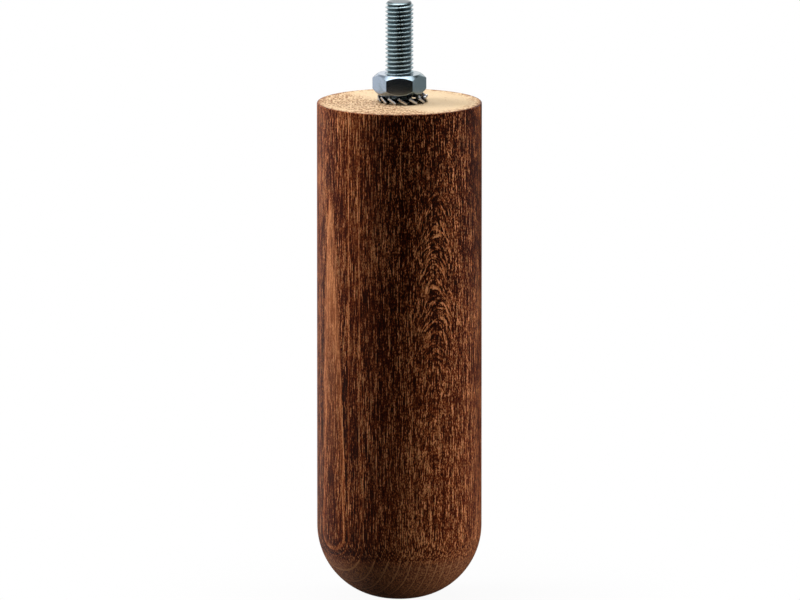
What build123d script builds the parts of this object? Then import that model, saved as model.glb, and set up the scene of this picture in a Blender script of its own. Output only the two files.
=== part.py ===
from build123d import *
from math import cos, radians, sin, tan
import os

os.makedirs("parts", exist_ok=True)

# A round wooden furniture leg with a domed foot, and the hanger bolt that fixes it.
# Millimetres and degrees. +Z is up, and the origin is the centre of the foot's flat.

# Leg body: a turned beech cylinder, cut square at the top and domed at the foot
leg_height = 180
leg_diameter = 59
foot_flat_diameter = 6
top_edge_radius = 0.5

# Hanger bolt: machine thread upwards, plain shank, wood thread down into the leg
thread_diameter = 10
thread_pitch = 1.5
stud_length = 36.5
stud_end_chamfer = 0.9
shank_depth = 5
core_diameter = 7
wood_thread_diameter = 10
wood_thread_length = 32.5
wood_thread_pitch = 4.5
ridge_crest_width = 0.2
ridge_root_width = 1.5
bolt_tip_length = 6
bolt_tip_diameter = 1

# Pilot hole: as wide as the bolt's core, and a little deeper than its tip
pilot_spare_depth = 2
drill_point_angle = 118

# Lock washer: a flat ring whose outer teeth are twisted, so that they bite both ways
washer_bore = 11.4
washer_thickness = 0.9
washer_slack = 0.05
ring_width = 1.25
tooth_length = 1.95
tooth_root_sink = 0.2
tooth_count = 14
tooth_width = 3.6
tooth_twist = 32

# Hexagon nut
nut_across_flats = 16.8
nut_height = 7.7
nut_corner_radius = 0.4
nut_top_face_diameter = 15.4
nut_bottom_face_diameter = 15.4
nut_top_chamfer_angle = 40
nut_bottom_chamfer_angle = 48
nut_countersink_diameter = 10.8
thread_clearance = 0.05

# Threads meet at their pitch diameter, which is also that of the blank they are rolled on
pitch_diameter = thread_diameter - 0.6495 * thread_pitch

# The washer is as high as its teeth, which lean over side by side like slats
ring_diameter = washer_bore + 2 * ring_width
washer_diameter = ring_diameter + 2 * tooth_length
tooth_rise = tooth_width * sin(radians(tooth_twist))
washer_height = tooth_rise + washer_thickness * cos(radians(tooth_twist))
tooth_root_radius = ring_diameter / 2 - tooth_root_sink

# The washer has slid sideways until its bore almost meets the shank
washer_shift = (washer_bore - pitch_diameter) / 2 - washer_slack

# Heights up the stack: wood, washer, nut, free stud
nut_bottom = leg_height + washer_height
nut_top = nut_bottom + nut_height
bolt_top = leg_height + stud_length

# Heights down the hole: shank, wood thread, tip, end of the pilot hole
shank_bottom = leg_height - shank_depth
shank_taper = (pitch_diameter - core_diameter) / 2
tip_top = shank_bottom - wood_thread_length
tip_bottom = tip_top - bolt_tip_length
pilot_bottom = tip_bottom - pilot_spare_depth
drill_point_length = core_diameter / 2 / tan(radians(drill_point_angle / 2))

# The ridge keeps half its root clear of the tip, and runs out against the shank's taper
ridge_bottom = tip_top + ridge_root_width / 2
ridge_top = shank_bottom - shank_taper - ridge_root_width / 2
ridge_depth = (wood_thread_diameter - core_diameter) / 2
ridge_sink = ridge_depth / 5

# Wood thread: one sharp helical ridge on the core
with BuildPart() as wood_thread:
    with BuildLine() as ridge_path:
        Helix(
            pitch=wood_thread_pitch,
            height=ridge_top - ridge_bottom,
            radius=core_diameter / 2,
            center=(0, 0, ridge_bottom),
        )
    ridge_start = Plane(origin=ridge_path.line @ 0, x_dir=(1, 0, 0), z_dir=ridge_path.line % 0)
    with BuildSketch(ridge_start):
        with BuildLine():
            Polyline(
                (-ridge_sink, -ridge_root_width / 2),
                (ridge_depth, -ridge_crest_width / 2),
                (ridge_depth, ridge_crest_width / 2),
                (-ridge_sink, ridge_root_width / 2),
                close=True,
            )
        make_face()
    sweep(path=ridge_path.line, is_frenet=True)

# Hanger bolt: half its outline, turned round the axis, with the ridge added.
# Inside the nut the machine thread stands at its pitch diameter, and above it at its crests.
with BuildPart() as hanger_bolt:
    with BuildSketch(Plane.XZ):
        with BuildLine():
            Polyline(
                (0, tip_bottom),
                (bolt_tip_diameter / 2, tip_bottom),
                (core_diameter / 2, tip_top),
                (core_diameter / 2, shank_bottom - shank_taper),
                (pitch_diameter / 2, shank_bottom),
                (pitch_diameter / 2, nut_top),
                (thread_diameter / 2, nut_top),
                (thread_diameter / 2, bolt_top - stud_end_chamfer),
                (thread_diameter / 2 - stud_end_chamfer, bolt_top),
                (0, bolt_top),
                close=True,
            )
        make_face()
    revolve(axis=Axis.Z)
    add(wood_thread.part)

# Leg body: the turned outline, cut by the bolt itself and by the end of its pilot hole
with BuildPart() as leg_body:
    with BuildSketch(Plane.XZ):
        with BuildLine():
            foot = Line((0, 0), (foot_flat_diameter / 2, 0))
            dome = JernArc(foot @ 1, (1, 0), (leg_diameter - foot_flat_diameter) / 2, 90)
            side = Line(dome @ 1, (leg_diameter / 2, leg_height - top_edge_radius))
            edge = JernArc(side @ 1, (0, 1), top_edge_radius, 90)
            Polyline(edge @ 1, (0, leg_height), (0, 0))
        make_face()
    revolve(axis=Axis.Z)
    add(hanger_bolt.part, mode=Mode.SUBTRACT)
    with BuildSketch(Plane.XZ):
        with BuildLine():
            Polyline(
                (0, tip_top),
                (core_diameter / 2, tip_top),
                (core_diameter / 2, pilot_bottom),
                (0, pilot_bottom - drill_point_length),
                close=True,
            )
        make_face()
    revolve(axis=Axis.Z, mode=Mode.SUBTRACT)

# One washer tooth, pointing along +X: a leaning slat, rooted in the ring's rim
with BuildPart() as tooth:
    with BuildSketch(Plane.YZ.offset(tooth_root_radius)):
        Rectangle(tooth_width, washer_thickness, rotation=-tooth_twist)
    extrude(amount=washer_diameter / 2 - tooth_root_radius)

# Lock washer: the ring rides at half the height of its teeth
with BuildPart() as lock_washer:
    with Locations((washer_shift, 0, leg_height + washer_height / 2)):
        Cylinder(ring_diameter / 2, washer_thickness)
        with PolarLocations(0, tooth_count, start_angle=-90):
            add(tooth.part)
        Cylinder(washer_bore / 2, washer_thickness, mode=Mode.SUBTRACT)

# Hexagon nut, one flat to the front: the prism is turned down by a cone at each end
nut_reach = nut_across_flats / 2 / cos(radians(30))
nut_top_drop = (nut_reach - nut_top_face_diameter / 2) * tan(radians(nut_top_chamfer_angle))
nut_bottom_rise = (nut_reach - nut_bottom_face_diameter / 2) * tan(radians(nut_bottom_chamfer_angle))
nut_bore = pitch_diameter + 2 * thread_clearance
countersink_depth = (nut_countersink_diameter - nut_bore) / 2

with BuildPart() as hex_nut:
    with BuildSketch(Plane.XY.offset(nut_bottom)) as nut_outline:
        RegularPolygon(nut_across_flats / 2, 6, major_radius=False)
        fillet(nut_outline.vertices(), nut_corner_radius)
    extrude(amount=nut_height)
    with BuildSketch(Plane.XZ):
        with BuildLine():
            Polyline(
                (nut_bore / 2 + countersink_depth, nut_bottom),
                (nut_bottom_face_diameter / 2, nut_bottom),
                (nut_reach, nut_bottom + nut_bottom_rise),
                (nut_reach, nut_top - nut_top_drop),
                (nut_top_face_diameter / 2, nut_top),
                (nut_bore / 2 + countersink_depth, nut_top),
                (nut_bore / 2, nut_top - countersink_depth),
                (nut_bore / 2, nut_bottom + countersink_depth),
                close=True,
            )
        make_face()
    revolve(axis=Axis.Z, mode=Mode.INTERSECT)

leg_body.part.label = "leg_body"
export_step(leg_body.part, "parts/leg_body.step")

hanger_bolt.part.label = "hanger_bolt"
export_step(hanger_bolt.part, "parts/hanger_bolt.step")

lock_washer.part.label = "lock_washer"
export_step(lock_washer.part, "parts/lock_washer.step")

hex_nut.part.label = "hex_nut"
export_step(hex_nut.part, "parts/hex_nut.step")
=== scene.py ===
import math

import bpy
import numpy as np
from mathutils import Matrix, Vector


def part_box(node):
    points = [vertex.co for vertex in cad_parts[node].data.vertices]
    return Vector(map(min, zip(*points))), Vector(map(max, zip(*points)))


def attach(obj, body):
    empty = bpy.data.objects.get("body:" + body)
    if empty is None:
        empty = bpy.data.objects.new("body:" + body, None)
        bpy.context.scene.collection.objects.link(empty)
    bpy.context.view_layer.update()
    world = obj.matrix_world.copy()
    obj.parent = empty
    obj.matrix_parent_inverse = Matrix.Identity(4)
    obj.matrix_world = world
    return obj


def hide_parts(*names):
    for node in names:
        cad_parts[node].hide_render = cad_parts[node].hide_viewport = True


# A round wooden furniture leg, stained dark, with a zinc-plated hanger bolt, nut and toothed washer.
# Lengths are in metres. Z is up, and the photograph was taken from the -Y side.

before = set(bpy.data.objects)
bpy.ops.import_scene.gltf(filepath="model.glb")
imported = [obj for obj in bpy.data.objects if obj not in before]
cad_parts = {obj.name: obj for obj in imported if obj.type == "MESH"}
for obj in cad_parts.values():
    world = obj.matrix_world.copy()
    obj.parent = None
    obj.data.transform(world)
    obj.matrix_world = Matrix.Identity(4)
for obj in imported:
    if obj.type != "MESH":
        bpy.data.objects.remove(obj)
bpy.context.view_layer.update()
mm = 0.001
tau = 2 * math.pi
print("frame loaded:", ", ".join(sorted(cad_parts)))

legLow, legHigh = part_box("leg_body")
boltLow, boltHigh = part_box("hanger_bolt")
nutLow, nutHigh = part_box("hex_nut")
washerLow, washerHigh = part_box("lock_washer")


# Rises from 0 to 1 between two places, level at both ends
def easeBetween(value, start, end):
    share = np.clip((value - start) / (end - start), 0, 1)
    return share * share * (3 - 2 * share)


# The larger of two values, with the corner between them rounded over about the width given
def softLarger(first, second, width):
    return (first + second + np.sqrt((first - second) ** 2 + width**2)) / 2


# The smaller of two values, rounded over in the same way
def softSmaller(first, second, width):
    return -softLarger(-first, -second, width)


# Ring i, step j of a surface becomes a vertex. Each ring joins the next, and each ring closes on itself.
# A pole closes the first or last ring with one point. A looped surface joins its last ring to its first.
# The map for baking unrolls the surface: the step round is across, and ringPlaces, 0 to 1, is up.
def meshFromRings(name, rings, ringPlaces, startPole=None, endPole=None, looped=False):
    ringCount, stepCount = rings.shape[:2]
    index = np.arange(ringCount * stepCount).reshape(ringCount, stepCount)
    lower = index if looped else index[:-1]
    upper = np.roll(index, -1, axis=0) if looped else index[1:]
    quads = np.stack([lower, np.roll(lower, -1, 1), np.roll(upper, -1, 1), upper], axis=-1)

    across = np.arange(stepCount + 1) / stepCount
    left, low = np.meshgrid(across[:-1], ringPlaces[: len(lower)])
    right, high = np.meshgrid(across[1:], np.append(ringPlaces, 1.0)[1 : len(lower) + 1])
    quadMap = np.stack([left, low, right, low, right, high, left, high], axis=-1)

    vertices = [rings.reshape(-1, 3)]
    faces = quads.reshape(-1, 4).tolist()
    maps = [quadMap.reshape(-1, 2)]
    middle = (across[:-1] + across[1:]) / 2
    poles = [(startPole, index[0], ringPlaces[0], 0.0), (endPole, index[-1], ringPlaces[-1], 1.0)]
    for pole, ring, ringPlace, polePlace in poles:
        if pole is None:
            continue
        tips = np.full(stepCount, sum(len(part) for part in vertices))
        vertices.append(np.array([pole], float))
        corners = [
            (ring, across[:-1], ringPlace),
            (np.roll(ring, -1), across[1:], ringPlace),
            (tips, middle, polePlace),
        ]
        if polePlace == 0.0:
            corners.reverse()
        faces += np.stack([vertex for vertex, u, v in corners], axis=-1).tolist()
        columns = [column for vertex, u, v in corners for column in (u, np.full(stepCount, v))]
        maps.append(np.stack(columns, axis=-1).reshape(-1, 2))

    mesh = bpy.data.meshes.new(name)
    mesh.from_pydata(np.concatenate(vertices).tolist(), [], faces)
    bakeMap = mesh.uv_layers.new(name="OFBake")
    bakeMap.data.foreach_set("uv", np.concatenate(maps).astype(np.float32).ravel())
    return finishMesh(name, mesh)


# Faces are smooth, with a sharp edge wherever two of them meet at more than the angle given
def finishMesh(name, mesh, sharpAngle=32):
    mesh.polygons.foreach_set("use_smooth", np.ones(len(mesh.polygons), bool))
    mesh.set_sharp_from_angle(angle=math.radians(sharpAngle))
    mesh.validate()
    mesh.update()
    piece = bpy.data.objects.new(name, mesh)
    bpy.context.scene.collection.objects.link(piece)
    return piece


# How far along a profile each of its rings stands, from 0 to 1, by the length of its first column
def ringShares(rings):
    lengths = np.linalg.norm(np.diff(rings[:, 0], axis=0), axis=-1)
    return np.concatenate([[0], np.cumsum(lengths)]) / lengths.sum()


# Radius and height at each angle become points around the Z axis
def aroundAxis(radius, height, angle):
    radius, height, angle = np.broadcast_arrays(radius, height, angle)
    return np.stack([radius * np.cos(angle), radius * np.sin(angle), height], axis=-1)


boltSizes = {
    "crestRadius": 5.0 * mm,
    "pitch": 1.5 * mm,
    "crestHeight": 204.5 * mm,  # where a crest passes the +X side
    "crestHalfWidth": 0.13 * mm,
    "grooveDepth": 0.89 * mm,
    "crestRounding": 0.06 * mm,
    "rootRounding": 0.12 * mm,
    "blankRadius": 4.513 * mm,
    "threadStart": (181.85 * mm, 182.9 * mm),  # the machine thread grows out of the shank here
    "endChamfer": 0.9 * mm,
    "endCrown": 0.15 * mm,
    "coreRadius": 3.5 * mm,
    "shankDepth": 5.0 * mm,
    "shankTaper": 1.013 * mm,
    "tipLength": 6.0 * mm,
    "tipRadius": 0.5 * mm,
    "ridgeRadius": 5.0 * mm,
    "ridgePitch": 4.5 * mm,
    "ridgeHeight": 143.25 * mm,  # where the ridge starts, on the +X side
    "ridgeCrestHalf": 0.1 * mm,
    "ridgeRootHalf": 0.642 * mm,
    "ridgeEnds": (143.0 * mm, 145.2 * mm, 171.4 * mm, 173.3 * mm),
    "steps": 120,
    "tipRings": 9,
    "ridgeRing": 0.22 * mm,  # distance between rings along the wood thread
    "shankRings": 7,
    "threadRing": 0.065 * mm,  # distance between rings along the machine thread
    "crownRings": 6,
}


# Distance along the axis from the nearest turn of a right-handed helix
def fromHelix(angle, height, start, pitch):
    turns = (height - start) / pitch - angle / tau
    return np.abs(turns - np.round(turns)) * pitch


# Crest radius less the depth of the groove: flanks at 60 degrees to each other, rounded at crest and root
def threadRadius(angle, height, sizes=boltSizes):
    away = fromHelix(angle, height, sizes["crestHeight"], sizes["pitch"])
    depth = (away - sizes["crestHalfWidth"]) * math.sqrt(3)
    depth = softLarger(depth, 0.0, sizes["crestRounding"])
    depth = softSmaller(depth, sizes["grooveDepth"], sizes["rootRounding"])
    return sizes["crestRadius"] - depth


# The bolt's radius at an angle and height: tip cone, core with its ridge, shank, thread, end chamfer
def boltRadius(angle, height, sizes=boltSizes):
    tipTop = boltLow.z + sizes["tipLength"]
    shankBottom = legHigh.z - sizes["shankDepth"]
    core = np.interp(
        height,
        [boltLow.z, tipTop, shankBottom - sizes["shankTaper"], shankBottom],
        [sizes["tipRadius"], sizes["coreRadius"], sizes["coreRadius"], sizes["blankRadius"]],
    )
    away = fromHelix(angle, height, sizes["ridgeHeight"], sizes["ridgePitch"])
    rise = 1 - (away - sizes["ridgeCrestHalf"]) / (sizes["ridgeRootHalf"] - sizes["ridgeCrestHalf"])
    ridge = np.clip(rise, 0, 1) * (sizes["ridgeRadius"] - sizes["coreRadius"])
    first, full, last, end = sizes["ridgeEnds"]
    ridge = ridge * easeBetween(height, first, full) * (1 - easeBetween(height, last, end))
    thread = threadRadius(angle, height, sizes)
    threaded = easeBetween(height, *sizes["threadStart"])
    radius = core + ridge + (thread - core) * threaded
    chamfer = sizes["crestRadius"] + boltHigh.z - sizes["endCrown"] - sizes["endChamfer"] - height
    return np.minimum(radius, chamfer)


# Leg: the turned outline from the centre of the foot to the hole's rim, then down the hole to its point
legSizes = {
    "footFlatRadius": 3.0 * mm,
    "topEdgeRadius": 0.5 * mm,
    "holeClearance": 0.02 * mm,
    "pilotSpare": 2.0 * mm,
    "drillPoint": 2.1 * mm,
    "steps": 192,
    "domeRings": 36,
    "sideRings": 44,
    "edgeRings": 6,
    "topRings": 16,
    "holeRing": 0.25 * mm,
    "outsideShare": 0.9,  # how much of the map for baking the outside takes, and where the pilot hole ends
    "holeShare": 0.995,
}


# The dome is a quarter circle that starts level at the foot's flat and ends upright at the side
def makeLeg(sizes=legSizes):
    angle = np.arange(sizes["steps"]) / sizes["steps"] * tau
    legRadius = (legHigh.x - legLow.x) / 2
    domeRadius = legRadius - sizes["footFlatRadius"]
    edge = sizes["topEdgeRadius"]
    turn = np.linspace(0, math.pi / 2, sizes["domeRings"])
    domeR = sizes["footFlatRadius"] + domeRadius * np.sin(turn)
    domeZ = legLow.z + domeRadius * (1 - np.cos(turn))
    sideZ = np.linspace(domeZ[-1], legHigh.z - edge, sizes["sideRings"])[1:]
    edgeTurn = np.linspace(0, math.pi / 2, sizes["edgeRings"] + 1)[1:]
    edgeR = legRadius - edge * (1 - np.cos(edgeTurn))
    edgeZ = legHigh.z - edge + edge * np.sin(edgeTurn)
    rim = boltRadius(0.0, legHigh.z) + sizes["holeClearance"]
    topR = np.linspace(edgeR[-1], rim, sizes["topRings"])[1:-1]
    outlineR = np.concatenate([domeR, np.full(len(sideZ), legRadius), edgeR, topR])
    outlineZ = np.concatenate([domeZ, sideZ, edgeZ, np.full(len(topR), legHigh.z)])

    tipTop = boltLow.z + boltSizes["tipLength"]
    pilotBottom = boltLow.z - sizes["pilotSpare"]
    threadedZ = np.arange(legHigh.z, tipTop, -sizes["holeRing"])
    holeZ = np.concatenate([threadedZ, [tipTop, pilotBottom]])[:, None]
    boltR = np.where(holeZ > tipTop, boltRadius(angle, holeZ), boltSizes["coreRadius"])
    outside = aroundAxis(outlineR[:, None], outlineZ[:, None], angle)
    hole = aroundAxis(boltR + sizes["holeClearance"], holeZ, angle)
    rings = np.concatenate([outside, hole])
    outsidePlaces = sizes["outsideShare"] * ringShares(outside)
    holePlaces = np.linspace(sizes["outsideShare"], sizes["holeShare"], len(holeZ) + 1)[1:]
    places = np.concatenate([outsidePlaces, holePlaces])
    tip = (0, 0, pilotBottom - sizes["drillPoint"])
    return meshFromRings("turned_leg", rings, places, startPole=(0, 0, legLow.z), endPole=tip)


# Rings stand closest together along the machine thread, whose flanks cross them
def makeBolt(sizes=boltSizes):
    angle = np.arange(sizes["steps"]) / sizes["steps"] * tau
    tipTop = boltLow.z + sizes["tipLength"]
    shankBottom = legHigh.z - sizes["shankDepth"]
    threadLow = sizes["threadStart"][0]
    shoulder = boltHigh.z - sizes["endCrown"]
    height = np.concatenate([
        np.linspace(boltLow.z, tipTop, sizes["tipRings"] + 1)[:-1],
        np.arange(tipTop, shankBottom, sizes["ridgeRing"]),
        np.linspace(shankBottom, threadLow, sizes["shankRings"] + 1)[:-1],
        np.arange(threadLow, shoulder, sizes["threadRing"]),
        [shoulder],
    ])[:, None]
    rings = aroundAxis(boltRadius(angle, height), height, angle)
    inward = np.linspace(1, 0, sizes["crownRings"] + 1)[1:-1, None]
    capR = boltRadius(angle, shoulder) * inward
    capZ = shoulder + sizes["endCrown"] * (1 - inward**2)
    rings = np.concatenate([rings, aroundAxis(capR, capZ, angle)])
    places = ringShares(rings)
    return meshFromRings("hanger_bolt_zinc", rings, places, (0, 0, boltLow.z), (0, 0, boltHigh.z))


nutSizes = {
    "cornerRadius": 0.4 * mm,
    "topFaceRadius": 7.7 * mm,
    "bottomFaceRadius": 7.7 * mm,
    "topChamferAngle": 40,
    "bottomChamferAngle": 48,
    "countersinkRadius": 5.4 * mm,
    "boreRadius": 4.19 * mm,
    "threadClearance": 0.05 * mm,
    "edgeRounding": 0.16 * mm,
    "flatSteps": 22,
    "cornerSteps": 10,
    "cornerGuard": 0.008,  # radians from a flat's edge to one more step, which keeps the flat shaded flat
    "threadRing": 0.075 * mm,
    "outsideShare": 0.8,  # how much of the map for baking the outside takes
}


# Rounds the corner of an outline with a parabola through the two points at a reach from it.
# One more point each side keeps the flat faces flat up to their edges.
def roundedCorner(before, corner, after, reach, steps=5, flatReach=1.5):
    backwards = reach * (before - corner) / np.linalg.norm(before - corner, axis=-1, keepdims=True)
    onwards = reach * (after - corner) / np.linalg.norm(after - corner, axis=-1, keepdims=True)
    share = np.linspace(0, 1, steps)[:, None, None]
    curve = corner + (1 - share) ** 2 * backwards + share**2 * onwards
    return np.concatenate([[corner + backwards * flatReach], curve, [corner + onwards * flatReach]])


# Distance from the axis to a hexagon with rounded corners: the flat's distance over the cosine of the
# angle from its middle, or where the ray leaves the corner's circle
def hexagonRadius(angle, flatDistance, cornerRadius):
    fromFlat = np.abs((angle + math.pi / 6) % (math.pi / 3) - math.pi / 6)
    centre = (flatDistance - cornerRadius) / math.cos(math.pi / 6)
    fromCorner = math.pi / 6 - fromFlat
    overFlat = flatDistance / np.cos(fromFlat)
    side = centre * np.sin(fromCorner)
    overCorner = centre * np.cos(fromCorner) + np.sqrt(np.maximum(cornerRadius**2 - side**2, 0))
    tangent = math.atan2(centre / 2, flatDistance)
    return np.where(fromFlat < tangent, overFlat, overCorner)


# The nut's outline at each angle: from the bottom face round the outside to the top, then down the bore
def makeNut(sizes=nutSizes):
    flatDistance = (nutHigh.y - nutLow.y) / 2
    centre = (flatDistance - sizes["cornerRadius"]) / math.cos(math.pi / 6)
    tangent = math.atan2(centre / 2, flatDistance)
    overFlat = np.linspace(-tangent, tangent, sizes["flatSteps"])
    nearEdge = tangent - sizes["cornerGuard"]
    overCorner = np.linspace(tangent, math.pi / 3 - tangent, sizes["cornerSteps"] + 1)[1:-1]
    oneSide = np.sort(np.concatenate([overFlat, [-nearEdge, nearEdge], overCorner]))
    angle = np.concatenate([oneSide + k * math.pi / 3 for k in range(6)]) - math.pi / 2

    reach = hexagonRadius(angle + math.pi / 2, flatDistance, sizes["cornerRadius"])
    bottom, top = nutLow.z, nutHigh.z
    rise = (reach - sizes["bottomFaceRadius"]) * math.tan(math.radians(sizes["bottomChamferAngle"]))
    drop = (reach - sizes["topFaceRadius"]) * math.tan(math.radians(sizes["topChamferAngle"]))

    outline = [
        (sizes["countersinkRadius"], bottom),
        (sizes["bottomFaceRadius"], bottom),
        (reach, bottom + rise),
        (reach, top - drop),
        (sizes["topFaceRadius"], top),
        (sizes["countersinkRadius"], top),
    ]
    outline = [np.stack(np.broadcast_arrays(r, z, reach)[:2], axis=-1) for r, z in outline]
    parts = [outline[0][None]]
    for before, corner, after in zip(outline, outline[1:], outline[2:]):
        parts.append(roundedCorner(before, corner, after, sizes["edgeRounding"]))
    parts.append(outline[-1][None])
    outside = np.concatenate(parts)
    outsideRings = aroundAxis(outside[..., 0], outside[..., 1], angle)

    boreZ = np.arange(top - sizes["threadRing"], bottom, -sizes["threadRing"])[:, None]
    sunk = np.maximum(boreZ - top, bottom - boreZ) + sizes["countersinkRadius"]
    cut = np.maximum(threadRadius(angle, boreZ) + sizes["threadClearance"], sizes["boreRadius"])
    bore = aroundAxis(np.maximum(sunk, cut), boreZ, angle)
    rings = np.concatenate([outsideRings, bore])
    borePlaces = np.linspace(sizes["outsideShare"], 1, len(boreZ) + 2)[1:-1]
    places = np.concatenate([sizes["outsideShare"] * ringShares(outsideRings), borePlaces])
    return meshFromRings("hex_nut_zinc", rings, places, looped=True)


washerSizes = {
    "boreRadius": 5.7 * mm,
    "ringRadius": 6.95 * mm,
    "thickness": 0.9 * mm,
    "toothCount": 14,
    "toothWidth": 3.6 * mm,
    "rootWidth": 2.7 * mm,
    "rootRadius": 6.7 * mm,
    "twistedFrom": 7.5 * mm,  # beyond this radius the teeth have their full twist
    "twist": 32,
    "edgeRadius": 0.12 * mm,
    "ringSteps": 168,
    "toothRings": 6,  # before the full twist, and again after it
}


# Corners of a rectangle rounded by quarter circles, as offsets from its middle
def roundedRectangle(width, height, radius, cornerSteps=4):
    turn = np.linspace(0, math.pi / 2, cornerSteps)
    points = []
    for k, (sideX, sideY) in enumerate([(1, 1), (-1, 1), (-1, -1), (1, -1)]):
        quarter = turn + k * math.pi / 2
        points.append(np.stack([
            sideX * (width / 2 - radius) + radius * np.cos(quarter),
            sideY * (height / 2 - radius) + radius * np.sin(quarter),
        ], axis=-1))
    return np.concatenate(points)


# Ring: a rounded rectangle carried round the axis. Teeth: a rounded rectangle carried outwards, widening
# and twisting about its own line until it leans by the full angle, then drawn in over the outer edge
def makeWasher(sizes=washerSizes):
    centreX = (washerLow.x + washerHigh.x) / 2
    middle = (washerLow.z + washerHigh.z) / 2
    outerRadius = (washerHigh.y - washerLow.y) / 2
    edge = sizes["edgeRadius"]
    ringWidth = sizes["ringRadius"] - sizes["boreRadius"]
    section = roundedRectangle(ringWidth, sizes["thickness"], edge)
    turn = (np.arange(sizes["ringSteps"]) / sizes["ringSteps"] * tau)[:, None]
    ringR = (sizes["ringRadius"] + sizes["boreRadius"]) / 2 + section[:, 0]
    ring = aroundAxis(ringR, middle + section[:, 1], turn)
    ringIndex = np.arange(ring.shape[0] * ring.shape[1]).reshape(ring.shape[:2])
    nextTurn, nextPoint = np.roll(ringIndex, -1, 0), np.roll(ringIndex, -1, 1)
    ringFaces = np.stack([ringIndex, nextTurn, np.roll(nextTurn, -1, 1), nextPoint], -1).reshape(-1, 4)

    out = np.concatenate([
        np.linspace(sizes["rootRadius"], sizes["twistedFrom"], sizes["toothRings"]),
        np.linspace(sizes["twistedFrom"], outerRadius - edge, sizes["toothRings"])[1:],
    ])
    tipTurn = np.linspace(0, math.pi / 2, 4)[1:]
    radii = np.concatenate([out, outerRadius - edge + edge * np.sin(tipTurn)])
    inset = np.concatenate([np.zeros(len(out)), edge * (1 - np.cos(tipTurn))])
    opened = easeBetween(radii, sizes["rootRadius"], sizes["twistedFrom"])
    width = sizes["rootWidth"] + (sizes["toothWidth"] - sizes["rootWidth"]) * opened
    lean = -math.radians(sizes["twist"]) * opened
    shape = roundedRectangle(1.0, 1.0, 0.0)
    toothSize = np.array([sizes["toothWidth"], sizes["thickness"]])
    rounded = roundedRectangle(*toothSize, edge) - shape * toothSize
    across = shape[:, 0] * (width - 2 * inset)[:, None] + rounded[:, 0]
    up = shape[:, 1] * (sizes["thickness"] - 2 * inset)[:, None] + rounded[:, 1]
    turnedAcross = across * np.cos(lean)[:, None] - up * np.sin(lean)[:, None]
    turnedUp = across * np.sin(lean)[:, None] + up * np.cos(lean)[:, None]

    teeth = np.arange(sizes["toothCount"]) / sizes["toothCount"] * tau - math.pi / 2
    outward = np.stack([np.cos(teeth), np.sin(teeth), 0 * teeth], -1)[:, None, None]
    sideways = np.stack([-np.sin(teeth), np.cos(teeth), 0 * teeth], -1)[:, None, None]
    upward = np.array([0.0, 0.0, 1.0])
    toothPoints = (
        outward * radii[:, None, None]
        + sideways * turnedAcross[..., None]
        + upward * (middle + turnedUp)[..., None]
    )
    ringCount, pointCount = toothPoints.shape[1:3]
    toothIndex = np.arange(ringCount * pointCount).reshape(ringCount, pointCount)
    lower, upper = toothIndex[:-1], toothIndex[1:]
    toothFaces = np.stack([lower, np.roll(lower, -1, 1), np.roll(upper, -1, 1), upper], -1).reshape(-1, 4)
    vertices = np.concatenate([ring.reshape(-1, 3), toothPoints.reshape(-1, 3)])
    vertices[:, 0] += centreX
    faces = ringFaces.tolist()
    for k in range(sizes["toothCount"]):
        first = ring.shape[0] * ring.shape[1] + k * ringCount * pointCount
        faces += (toothFaces + first).tolist()
        faces.append((toothIndex[0, ::-1] + first).tolist())
        faces.append((toothIndex[-1] + first).tolist())
    mesh = bpy.data.meshes.new("tooth_washer_zinc")
    mesh.from_pydata(vertices.tolist(), [], faces)
    return finishMesh("tooth_washer_zinc", mesh)


# A number or a colour that varies over a surface. Sums and products of these make maths nodes.
class shadeValue:
    def __init__(self, tree, socket):
        self.tree = tree
        self.socket = socket

    def calc(self, operation, other=0.0):
        return addNode(self.tree, "ShaderNodeMath", {0: self, 1: other}, operation=operation)

    def __add__(self, other):
        return self.calc("ADD", other)

    def __sub__(self, other):
        return self.calc("SUBTRACT", other)

    def __mul__(self, other):
        return self.calc("MULTIPLY", other)

    def __neg__(self):
        return self.calc("MULTIPLY", -1.0)

    def clamped(self):
        held = self.calc("ADD", 0.0)
        held.socket.node.use_clamp = True
        return held

    # 0 below start, 1 above end, eased between
    def eased(self, start, end):
        inputs = {0: self, 1: start, 2: end}
        return addNode(self.tree, "ShaderNodeMapRange", inputs, interpolation_type="SMOOTHSTEP")


# Adds a node. A value that varies is linked to its input, and a plain number or colour is set on it.
def addNode(tree, kind, inputs=None, output=0, **settings):
    made = tree.nodes.new(kind)
    for name, value in settings.items():
        setattr(made, name, value)
    for key, value in (inputs or {}).items():
        if isinstance(value, shadeValue):
            tree.links.new(value.socket, made.inputs[key])
        else:
            made.inputs[key].default_value = value
    return shadeValue(tree, made.outputs[output])


# An empty material, and its tree of nodes
def newMaterial(name):
    material = bpy.data.materials.new(name)
    material.use_nodes = True
    tree = material.node_tree
    tree.nodes.clear()
    return material, tree


# The x, y and z of a vector
def partsOf(tree, vector):
    split = addNode(tree, "ShaderNodeSeparateXYZ", {0: vector}).socket.node
    return [shadeValue(tree, output) for output in split.outputs]


# A vector, or a colour, from its three parts
def joined(tree, x, y, z):
    return addNode(tree, "ShaderNodeCombineXYZ", {0: x, 1: y, 2: z})


# Object coordinates, in millimetres
def millimetres(tree):
    place = addNode(tree, "ShaderNodeTexCoord", output=3)
    return addNode(tree, "ShaderNodeVectorMath", {0: place, 3: 1 / mm}, operation="SCALE")


# Soft noise about nought, with so many cells for each millimetre along each axis. Detail adds finer layers.
def noiseAt(tree, place, cells, shift=(0, 0, 0), detail=2.0, roughness=0.5):
    moved = addNode(tree, "ShaderNodeMapping", {"Vector": place, "Location": shift, "Scale": cells})
    inputs = {"Vector": moved, "Scale": 1.0, "Detail": detail, "Roughness": roughness}
    return addNode(tree, "ShaderNodeTexNoise", inputs) - 0.5


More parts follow.
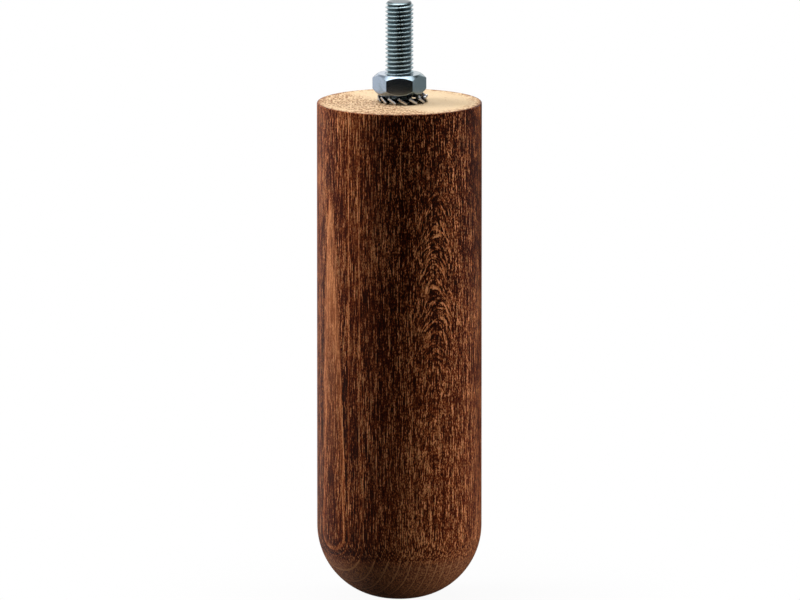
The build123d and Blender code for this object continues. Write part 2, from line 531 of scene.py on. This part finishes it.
# The first colour where the share is 0, and the second where it is 1
def blend(tree, share, first, second):
    return addNode(tree, "ShaderNodeMix", {0: share, 6: first, 7: second}, output=2, data_type="RGBA")


# Colours at stops between 0 and 1, mixed along the way
def colourRamp(tree, value, stops):
    ramp = addNode(tree, "ShaderNodeValToRGB", {0: value})
    elements = ramp.socket.node.color_ramp.elements
    for k, (place, colour) in enumerate(stops):
        element = elements[k] if k < 2 else elements.new(place)
        element.position = place
        element.color = (*colour, 1.0)
    return ramp


# Links the last shader to the material's surface
def finishMaterial(tree, shader):
    out = tree.nodes.new("ShaderNodeOutputMaterial")
    tree.links.new(shader.socket, out.inputs["Surface"])


# Stained beech. Growth rings are nearly flat sheets that face the pith, which lies away to the front left.
# Lengths are in millimetres here, and azimuths in degrees from the front, to the right.
woodLook = {
    "pithAzimuth": -56.0,
    "rayAzimuth": 26.0,  # the rays lie in the surface here, and show as flecks
    "ringSpacing": 3.3,
    "ringTilt": 0.009,  # how far the rings lean for each millimetre of height
    "ringBend": 2.2,
    "ringRipple": 0.35,
    "streakTip": 150.0,  # height where a pale ring comes to the surface
    "rayTilt": -0.06,
    "raySway": 1.6,
    "rayJitter": 0.03,
    "fleckTop": (158.0, 142.0),  # the flecks set in between these heights, and thin out between the others
    "fleckMiddle": (82.0, 110.0),
    "fleckFoot": (36.0, 56.0),
    "floorLightHeights": (150.0, 40.0),  # between these heights, going down, painted floor light lightens the side and painted shade darkens the ring face
    "paleEdges": (28.05, 26.3),  # depths of two growth rings whose pale edges run the whole height
    "grainWeights": {
        "rays": 0.8,
        "dashes": 3.0,
        "grit": 2.0,
        "fibres": 2.8,
        "fineRays": 1.0,
        "clouds": 0.8,
        "sparks": 0.4,
    },
    "sideTone": 0.21,  # raise these two for paler wood on the side, and on the foot's underside
    "endTone": 0.89,
    "fleckTone": 0.8,
    "paleEdgeTone": 0.42,
    "toneScale": 0.667,  # brings the wood's tones, about 0 to 1.5, to the stain's stops, 0 to 1
    "stain": [
        (0.0, (0.012, 0.003, 0.001)),
        (0.17, (0.044, 0.0062, 0.002)),
        (0.34, (0.148, 0.027, 0.0076)),
        (0.5, (0.36, 0.090, 0.027)),
        (0.67, (0.64, 0.215, 0.076)),
        (1.0, (0.98, 0.43, 0.18)),
    ],
    "streakColour": (0.40, 0.19, 0.10, 1.0),
    "streakShare": 0.2,
    "footColour": (0.175, 0.078, 0.043, 1.0),
    "footShare": 0.45,
    "roughness": 0.40,
    "bareRoughness": 0.25,  # added where the wood is bare
    "specular": 0.05,
    "fibreRelief": 0.12,
}

# Noise in the wood: cells for each millimetre, two numbers across the grain and one along it.
# Those of rays, fineRays and flecks are across the rays, towards the pith and along the grain.
woodNoises = {
    "bend": {"cells": (0.035, 0.035, 0.008), "detail": 1.0},
    "ripple": {"cells": (0.3, 0.3, 0.05)},
    "sway": {"cells": (0.03, 0.03, 0.055), "detail": 1.0},
    "jitter": {"cells": (1.1, 1.1, 0.4), "detail": 1.0},
    "rays": {"cells": (6.0, 0.4, 0.6), "detail": 1.0},
    "fineRays": {"cells": (25.0, 0.5, 0.15), "detail": 1.0},
    "flecks": {"cells": (9.0, 0.35, 0.2), "shift": (0, 0, 3), "detail": 0.0},
    "fibres": {"cells": (3.4, 3.4, 0.1), "detail": 1.0, "roughness": 0.6},
    "dashes": {"cells": (3.4, 3.4, 0.36), "shift": (0, 0, 7), "detail": 1.0, "roughness": 0.6},
    "grit": {"cells": (3.4, 3.4, 1.5), "detail": 0.0},
    "sparks": {"cells": (2.8, 2.8, 0.2), "shift": (0, 0, 3), "detail": 0.0},
    "clouds": {"cells": (0.1, 0.1, 0.03), "detail": 1.0, "roughness": 0.6},
    "pores": {"cells": (2.0, 2.0, 0.6), "roughness": 0.7},
    "ragged": {"cells": (0.9, 0.9, 0.0), "detail": 3.0},
    "speckle": {"cells": (1.3, 0.5, 0.0), "detail": 3.0, "roughness": 0.75},
    "stainSpots": {"cells": (0.6, 0.25, 0.0), "shift": (9, 0, 0), "detail": 4.0, "roughness": 0.7},
    "blotch": {"cells": (0.11, 0.11, 1.0), "shift": (3, 0, 0), "detail": 3.0, "roughness": 0.6},
    "smear": {"cells": (0.25, 0.4, 0.0), "shift": (0, 5, 0)},
}


# One of the noises above
def woodNoise(tree, place, name):
    return noiseAt(tree, place, **woodNoises[name])


# Each ring has a thin pale line at its start, and darkens towards its end: its place is the fraction of
# the depth towards the pith, leaning and a little bent, over the rings' spacing
def growthRings(tree, place, leaning, ripple, look):
    bend = woodNoise(tree, place, "bend") * look["ringBend"]
    turn = ((leaning + bend + ripple) * (1 / look["ringSpacing"])).calc("FRACT")
    line = (-turn.eased(0.0, 0.11) + 1.0) + turn.eased(0.965, 1.0)
    late = turn.eased(0.3, 0.95)
    return line, late


# Where a leaning ring comes to the surface it leaves a pale pointed streak, with a dark rim outside
# and a pale edge inside. The streak is plainest at its upper end.
def streakTone(towardsStreak, streak, z):
    rim = towardsStreak.eased(-0.22, -0.04) - streak
    edge = towardsStreak.eased(-0.02, 0.03) * towardsStreak.eased(0.12, 0.05)
    tone = streak * (z.eased(20.0, 120.0) * 0.2 + 0.06)
    tone = tone - rim * (z.eased(110.0, 60.0) * 0.04 + 0.05)
    return tone + edge * (z.eased(20.0, 100.0) * 0.16 + 0.03)


# Rays are thin sheets that run towards the pith, swaying a little: dashes, flecks or lines as the surface
# cuts them. The distance across them is the vector's first part.
def rayPlaces(tree, place, side, depth, z, look):
    sway = woodNoise(tree, place, "sway") * look["raySway"]
    jitter = woodNoise(tree, place, "jitter") * look["rayJitter"]
    return joined(tree, side + z * look["rayTilt"] + sway + jitter, depth, z)


# The grain's tone about nought: short dashes and grit, long fibres, fine rays, and broad clouds.
# Its pale parts are strengthened by their own square, as the stain leaves few of them.
def grainTone(tree, place, rays, fineRays, fibres, dashes, straight, flecked, weights):
    grit = woodNoise(tree, place, "grit")
    clouds = woodNoise(tree, place, "clouds")
    sparks = woodNoise(tree, place, "sparks").eased(0.08, 0.22)
    grain = rays * weights["rays"] + dashes * weights["dashes"] + grit * weights["grit"]
    grain = grain * (straight * -0.35 + 1.0)
    grain = grain + fibres * (straight * 0.5 + flecked * -1.8 + weights["fibres"])
    grain = grain + fineRays * (flecked * 2.0 + weights["fineRays"])
    grain = grain + clouds * weights["clouds"] + sparks * weights["sparks"]
    raised = grain.calc("MAXIMUM", 0.0)
    return grain * 0.36 + raised * 0.24 + raised * raised * 0.66 - flecked * 0.085


# The sawn top was never stained, apart from its rim, and nor was the hole
sawnLook = {
    "bareRadius": 28.95,
    "raggedness": 0.4,
    "topDepth": (0.1, 0.02),  # below the top face, where the bare wood starts and is complete
    "holeRadius": 6.0,
    "holeBottom": 100.0,
    "band": (1.0, 9.0, 22.0, 27.5),  # depths between which the sawn wood is darkest and most speckled
    "rim": (22.0, 28.5),  # radii over which spots of stain thicken towards the edge
    "edge": (26.8, 29.2),  # radii over which the wood darkens towards the edge
    "tone": 1.08,  # raise this for paler sawn wood
    "colours": [
        (0.0, (0.34, 0.16, 0.082)),
        (0.35, (0.57, 0.32, 0.17)),
        (0.6, (0.75, 0.51, 0.30)),
        (1.0, (0.92, 0.70, 0.45)),
    ],
}


# 1 where the wood is bare: on the top face inside a slightly ragged rim, and down the hole
def sawnShare(tree, place, radial, z, look):
    ragged = woodNoise(tree, place, "ragged") * look["raggedness"]
    top = legHigh.z / mm
    onTop = z.eased(*(top - below for below in look["topDepth"]))
    onTop = onTop * (-radial + look["bareRadius"] + ragged).eased(-0.12, 0.12)
    inHole = (-radial + look["holeRadius"]).eased(-0.1, 0.1)
    inHole = inHole * z.eased(look["holeBottom"], look["holeBottom"] + 1.0)
    return onTop.calc("MAXIMUM", inHole)


# Speckles and smears, strongest in a darker band, spots of stain near the rim, and faint rings
def sawnColour(tree, place, radial, x, depth, line, look):
    bandLow, bandFull, bandLast, bandHigh = look["band"]
    band = depth.eased(bandLow, bandFull) * depth.eased(bandHigh, bandLast)
    spots = woodNoise(tree, place, "stainSpots").eased(-0.10, 0.12) * radial.eased(*look["rim"])
    spots = band * 0.48 + spots * (x.eased(-25.0, 25.0) * 0.25 + 0.5)
    tone = woodNoise(tree, place, "speckle") * (band * 4.6 + 2.0)
    tone = tone + woodNoise(tree, place, "smear") * (band * 1.4 + 0.4)
    tone = tone - spots + woodNoise(tree, place, "blotch") * 0.4 - line * 0.06
    tone = tone - radial.eased(*look["edge"]) * 0.5 + look["tone"]
    return colourRamp(tree, tone, look["colours"])


# Depth and side are distances from the axis, towards the pith and towards the flecked side.
# The foot's underside shows the ends of the fibres: darker, even, with thin pale rings.
def stainedBeech(look=woodLook):
    material, tree = newMaterial("stained_beech")
    place = millimetres(tree)
    x, y, z = partsOf(tree, place)
    pithTurn = math.radians(look["pithAzimuth"])
    rayTurn = math.radians(look["rayAzimuth"])
    legRadius = (legHigh.x - legLow.x) / 2 / mm
    radial = (x * x + y * y).calc("SQRT")
    depth = x * math.sin(pithTurn) - y * math.cos(pithTurn)
    side = x * math.sin(rayTurn) - y * math.cos(rayTurn)

    ripple = woodNoise(tree, place, "ripple") * look["ringRipple"]
    leaning = depth + (-z + look["streakTip"]) * look["ringTilt"]
    line, late = growthRings(tree, place, leaning, ripple, look)
    towardsStreak = leaning + ripple * 0.25 - legRadius
    streak = towardsStreak.eased(0.0, 0.10)

    ringFace = depth.eased(legRadius * 0.55, legRadius * 0.95)
    straight = ringFace + depth.eased(-2.0, -14.0) * 0.7
    fleckHeights = z.eased(*look["fleckMiddle"]) * 0.75 + z.eased(*look["fleckFoot"]) * 0.25
    fleckHeights = z.eased(*look["fleckTop"]) * fleckHeights
    flecked = side.eased(legRadius * 0.95, legRadius * 0.995) * fleckHeights
    rayPlace = rayPlaces(tree, place, side, depth, z, look)
    rays = woodNoise(tree, rayPlace, "rays")
    fineRays = woodNoise(tree, rayPlace, "fineRays")
    fibres = woodNoise(tree, place, "fibres")
    dashes = woodNoise(tree, place, "dashes")
    weights = look["grainWeights"]
    grain = grainTone(tree, place, rays, fineRays, fibres, dashes, straight, flecked, weights)

    # Painted light and shade: towards the foot the side is painted lighter, as by light from the floor, and
    # darker on the ring face
    floorLightShare = z.eased(*look["floorLightHeights"])
    sideTone = grain * (streak * -0.1 + 1.0) + streakTone(towardsStreak, streak, z)
    flecks = woodNoise(tree, rayPlace, "flecks").eased(0.11, 0.15)
    sideTone = sideTone + flecks * flecked * look["fleckTone"]
    sideTone = sideTone + line * (ringFace * (z.eased(110.0, 40.0) * 0.2 + 0.16) + 0.12) - late * 0.06
    for paleDepth in look["paleEdges"]:
        away = (depth + ripple * 0.3 - paleDepth).calc("ABSOLUTE")
        sideTone = sideTone + away.eased(0.14, 0.04) * look["paleEdgeTone"]
    # The first term is painted light and shade, lighter low down and darker low on the ring face
    sideTone = sideTone + floorLightShare * (ringFace * -0.40 + 0.26) + ringFace * 0.20 + look["sideTone"]

    pores = woodNoise(tree, place, "pores")
    endTone = pores * 3.6 + rays * 1.2 + line * depth.eased(-18.0, 4.0) * 2.3
    endTone = endTone - late * 0.08 + look["endTone"]
    normal = addNode(tree, "ShaderNodeTexCoord", output=1)
    endGrain = (-partsOf(tree, normal)[2] + ripple * 0.4).eased(0.28, 0.44)
    tone = addNode(tree, "ShaderNodeMix", {0: endGrain, 2: sideTone, 3: endTone}, data_type="FLOAT")
    stained = colourRamp(tree, tone * look["toneScale"], look["stain"])
    streakShare = streak * z.eased(30.0, 110.0) * look["streakShare"]
    stained = blend(tree, streakShare, stained, look["streakColour"])
    stained = blend(tree, endGrain * look["footShare"], stained, look["footColour"])

    bareShare = sawnShare(tree, place, radial, z, sawnLook)
    bare = sawnColour(tree, place, radial, x, depth, line, sawnLook)
    roughness = (grain * -0.25 + bareShare * look["bareRoughness"] + look["roughness"]).clamped()
    relief = fibres * 0.6 + dashes * 0.4 + fineRays * 0.3
    bumpInputs = {"Strength": 0.5, "Distance": look["fibreRelief"] * mm, "Height": relief}
    inputs = {
        "Base Color": blend(tree, bareShare, stained, bare),
        "Roughness": roughness,
        "Specular IOR Level": look["specular"],
        "Normal": addNode(tree, "ShaderNodeBump", bumpInputs),
    }
    finishMaterial(tree, addNode(tree, "ShaderNodeBsdfPrincipled", inputs))
    return material


# Zinc plating: bright metal with a blue passivation, and small pits. Painted shade darkens it towards the
# +X side.
# Painted shade darkens the bolt's grooves and the washer's ring and teeth inside their tips, within the
# radii given. Lengths are in millimetres.
zincLooks = {
    "bolt": {
        "first": (0.55, 0.66, 0.69, 1.0),
        "second": (0.36, 0.50, 0.55, 1.0),
        "roughness": 0.30,
        "sideShade": 0.03,
        "pitDepth": 0.01,
        "shadeColour": (0.09, 0.12, 0.13, 1.0),
        "shadeRadii": (4.78, 4.15),
        "axisX": 0.0,
    },
    "nut": {
        # The nut's first colour stands for its lit left flats and the darker second for its shaded right
        # flats: painted light and shade
        "first": (0.36, 0.43, 0.53, 1.0),
        "second": (0.21, 0.29, 0.32, 1.0),
        "roughness": 0.18,
        "sideShade": 0.07,
        "pitDepth": 0.03,
    },
    "washer": {
        "first": (0.62, 0.62, 0.62, 1.0),
        "second": (0.42, 0.43, 0.45, 1.0),
        "roughness": 0.25,
        "sideShade": 0.0,
        "pitDepth": 0.01,
        "shadeColour": (0.03, 0.03, 0.032, 1.0),
        "shadeRadii": (8.6, 8.0),
        "axisX": (washerLow.x + washerHigh.x) / 2 / mm,
    },
}
zincNoises = {
    "patches": {"cells": (0.35, 0.35, 0.3), "detail": 3.0, "roughness": 0.6},
    "mottle": {"cells": (2.4, 2.4, 2.4), "detail": 3.0, "roughness": 0.65},
    "pits": {"cells": (7.0, 7.0, 7.0), "roughness": 0.6},
}


# The two colours mix by patches and mottle, and by painted shade that turns to the second colour towards
# +X. Patches and mottle also vary the gloss.
def zincPlate(name):
    look = zincLooks[name]
    material, tree = newMaterial("zinc_plate_" + name)
    place = millimetres(tree)
    x, y, z = partsOf(tree, place)
    patches, mottle, pits = (noiseAt(tree, place, **noise) for noise in zincNoises.values())
    # The x term is painted shade: the right side turns to the darker second colour, most on the nut
    share = (patches * 1.8 + mottle * 1.5 + x * look["sideShade"] + 0.5).clamped()
    colour = blend(tree, share, look["first"], look["second"])
    # Painted shade: the darker colour fills the bolt's thread grooves and the washer inside its tooth tips
    if "shadeColour" in look:
        fromAxis = x - look["axisX"]
        radial = (fromAxis * fromAxis + y * y).calc("SQRT")
        colour = blend(tree, radial.eased(*look["shadeRadii"]), colour, look["shadeColour"])
    roughness = (mottle * 0.25 + patches * 0.12 + look["roughness"]).clamped()
    bumpInputs = {"Strength": 0.3, "Distance": look["pitDepth"] * mm, "Height": pits + mottle}
    bump = addNode(tree, "ShaderNodeBump", bumpInputs)
    inputs = {"Base Color": colour, "Metallic": 1.0, "Roughness": roughness, "Normal": bump}
    finishMaterial(tree, addNode(tree, "ShaderNodeBsdfPrincipled", inputs))
    return material


# Gives a finished piece its material, and sets it in the place of its node
def dress(piece, material, nodeName):
    piece.data.materials.clear()
    piece.data.materials.append(material)
    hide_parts(nodeName)
    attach(piece, "root")
    triangles = sum(len(face.vertices) - 2 for face in piece.data.polygons)
    print("piece", piece.name, "has", triangles, "triangles")


dress(makeLeg(), stainedBeech(), "leg_body")
dress(makeBolt(), zincPlate("bolt"), "hanger_bolt")
dress(makeNut(), zincPlate("nut"), "hex_nut")
dress(makeWasher(), zincPlate("washer"), "lock_washer")


# Studio: pale floor, white background, a lamp on each side, one above and a small low one at the right.
# In reflections the studio has a bright ceiling, back and left wall, a greyer right wall and a dark front.
studio = {
    "worldLevel": 0.004,
    "walls": {"left": 1.0, "right": 0.5, "back": 1.2, "ceiling": 3.6, "front": 0.022},
    "floorSize": 8.0,
    "floorTone": 0.8,
    "bounceTone": 0.07,  # the floor is darker in the light it throws back on the object
    "shadowReach": (0.03, 0.12),  # between these distances the floor's shadow fades towards white
    "whiteShare": 0.94,  # how white the floor is to the eye near the object. Far off it is all white.
    "left": {"azimuth": -98, "elevation": 26, "distance": 0.5, "size": (0.25, 0.5), "level": 1.02},
    "right": {"azimuth": 103, "elevation": 4, "distance": 0.9, "size": (0.4, 1.3), "level": 0.79},
    "top": {"azimuth": 180, "elevation": 82, "distance": 0.9, "size": (0.9, 0.9), "level": 0.78},
    "low": {"azimuth": 64, "elevation": -14, "distance": 0.36, "size": (0.2, 0.05), "level": 0.25},
}


# 1 for rays of the kind named, and 0 for the others
def rayKind(tree, kind):
    return addNode(tree, "ShaderNodeLightPath", output="Is " + kind + " Ray")


# The eye sees white, metal sees the walls, and little other light comes from the world
def makeWorld():
    world = bpy.data.worlds.new("studio_world")
    bpy.context.scene.world = world
    world.use_nodes = True
    tree = world.node_tree
    tree.nodes.clear()
    walls = studio["walls"]
    across, backwards, upwards = partsOf(tree, addNode(tree, "ShaderNodeTexCoord", output=0))
    seen = (-across).eased(0.1, 0.9) * walls["left"]
    seen = seen.calc("MAXIMUM", across.eased(0.3, 1.0) * walls["right"])
    seen = seen.calc("MAXIMUM", backwards.eased(0.5, 0.95) * upwards.eased(-0.05, 0.12) * walls["back"])
    seen = seen.calc("MAXIMUM", upwards.eased(0.7, 0.97) * walls["ceiling"])
    seen = seen.calc("MAXIMUM", walls["front"])
    direct = rayKind(tree, "Camera").calc("MAXIMUM", rayKind(tree, "Transmission"))
    level = (rayKind(tree, "Glossy") * seen).calc("MAXIMUM", direct).calc("MAXIMUM", studio["worldLevel"])
    light = addNode(tree, "ShaderNodeBackground", {"Color": (1, 1, 1, 1), "Strength": level})
    out = tree.nodes.new("ShaderNodeOutputWorld")
    tree.links.new(light.socket, out.inputs["Surface"])


# A flat square of floor, white to the eye except where the object's shadow falls close by
def makeFloor():
    half = studio["floorSize"] / 2
    mesh = bpy.data.meshes.new("studio_floor")
    corners = [(-half, -half, 0), (half, -half, 0), (half, half, 0), (-half, half, 0)]
    mesh.from_pydata(corners, [], [(0, 1, 2, 3)])
    floor = bpy.data.objects.new("studio_floor", mesh)
    bpy.context.scene.collection.objects.link(floor)
    material, tree = newMaterial("pale_floor")
    x, y, z = partsOf(tree, millimetres(tree))
    near, far = (reach / mm for reach in studio["shadowReach"])
    away = (x * x + y * y).calc("SQRT").eased(near, far)
    direct = rayKind(tree, "Camera").calc("MAXIMUM", rayKind(tree, "Transmission"))
    share = direct * (away * (1 - studio["whiteShare"]) + studio["whiteShare"])
    seenTone = direct * (studio["floorTone"] - studio["bounceTone"]) + studio["bounceTone"]
    matt = addNode(tree, "ShaderNodeBsdfDiffuse", {"Color": joined(tree, seenTone, seenTone, seenTone)})
    white = addNode(tree, "ShaderNodeEmission", {"Color": (1, 1, 1, 1), "Strength": 1.0})
    finishMaterial(tree, addNode(tree, "ShaderNodeMixShader", {0: share, 1: matt, 2: white}))
    mesh.materials.append(material)
    floor.visible_glossy = False


# A point at a distance from the object's middle, azimuth 0 being the camera's side
def aroundObject(azimuth, elevation, distance):
    turn, rise = math.radians(azimuth), math.radians(elevation)
    flat = distance * math.cos(rise)
    middle = (legLow.z + boltHigh.z) / 2
    return (flat * math.sin(turn), -flat * math.cos(turn), middle + distance * math.sin(rise))


# Power that lights a facing white surface to the level given: pi squared times the distance squared
def makeLamp(name):
    lamp = studio[name]
    data = bpy.data.lights.new(name + "_softbox", "AREA")
    data.shape = "RECTANGLE"
    data.size, data.size_y = lamp["size"]
    data.energy = lamp["level"] * (math.pi * lamp["distance"]) ** 2
    light = bpy.data.objects.new(name + "_softbox", data)
    light.location = aroundObject(lamp["azimuth"], lamp["elevation"], lamp["distance"])
    target = Vector((0, 0, (legLow.z + boltHigh.z) / 2))
    light.rotation_euler = (target - light.location).to_track_quat("-Z", "Y").to_euler()
    light.visible_camera = False
    light.visible_glossy = False
    bpy.context.scene.collection.objects.link(light)


# Camera: a long lens far away, aimed so that the object stands in the photograph's place
cameraSizes = {
    "lens": 800.0,
    "sensor": 36.0,
    "frameWidth": 286.6 * mm,
    "elevation": 10.05,
    "aim": (0.22 * mm, 0.0, 108.0 * mm),
}


# The frame's width is what the sensor sees at the aim, so the distance follows from the lens
def makeCamera(sizes=cameraSizes):
    data = bpy.data.cameras.new("photo_camera")
    data.lens = sizes["lens"]
    data.sensor_width = sizes["sensor"]
    data.clip_end = 100.0
    distance = sizes["frameWidth"] * sizes["lens"] / sizes["sensor"]
    rise = math.radians(sizes["elevation"])
    aim = Vector(sizes["aim"])
    camera = bpy.data.objects.new("photo_camera", data)
    camera.location = aim + Vector((0, -math.cos(rise), math.sin(rise))) * distance
    camera.rotation_euler = (aim - camera.location).to_track_quat("-Z", "Y").to_euler()
    bpy.context.scene.collection.objects.link(camera)
    bpy.context.scene.camera = camera


makeWorld()
makeFloor()
for lampName in ("left", "right", "top", "low"):
    makeLamp(lampName)
makeCamera()
bpy.context.scene.view_settings.view_transform = "Standard"
print("studio and camera are set")
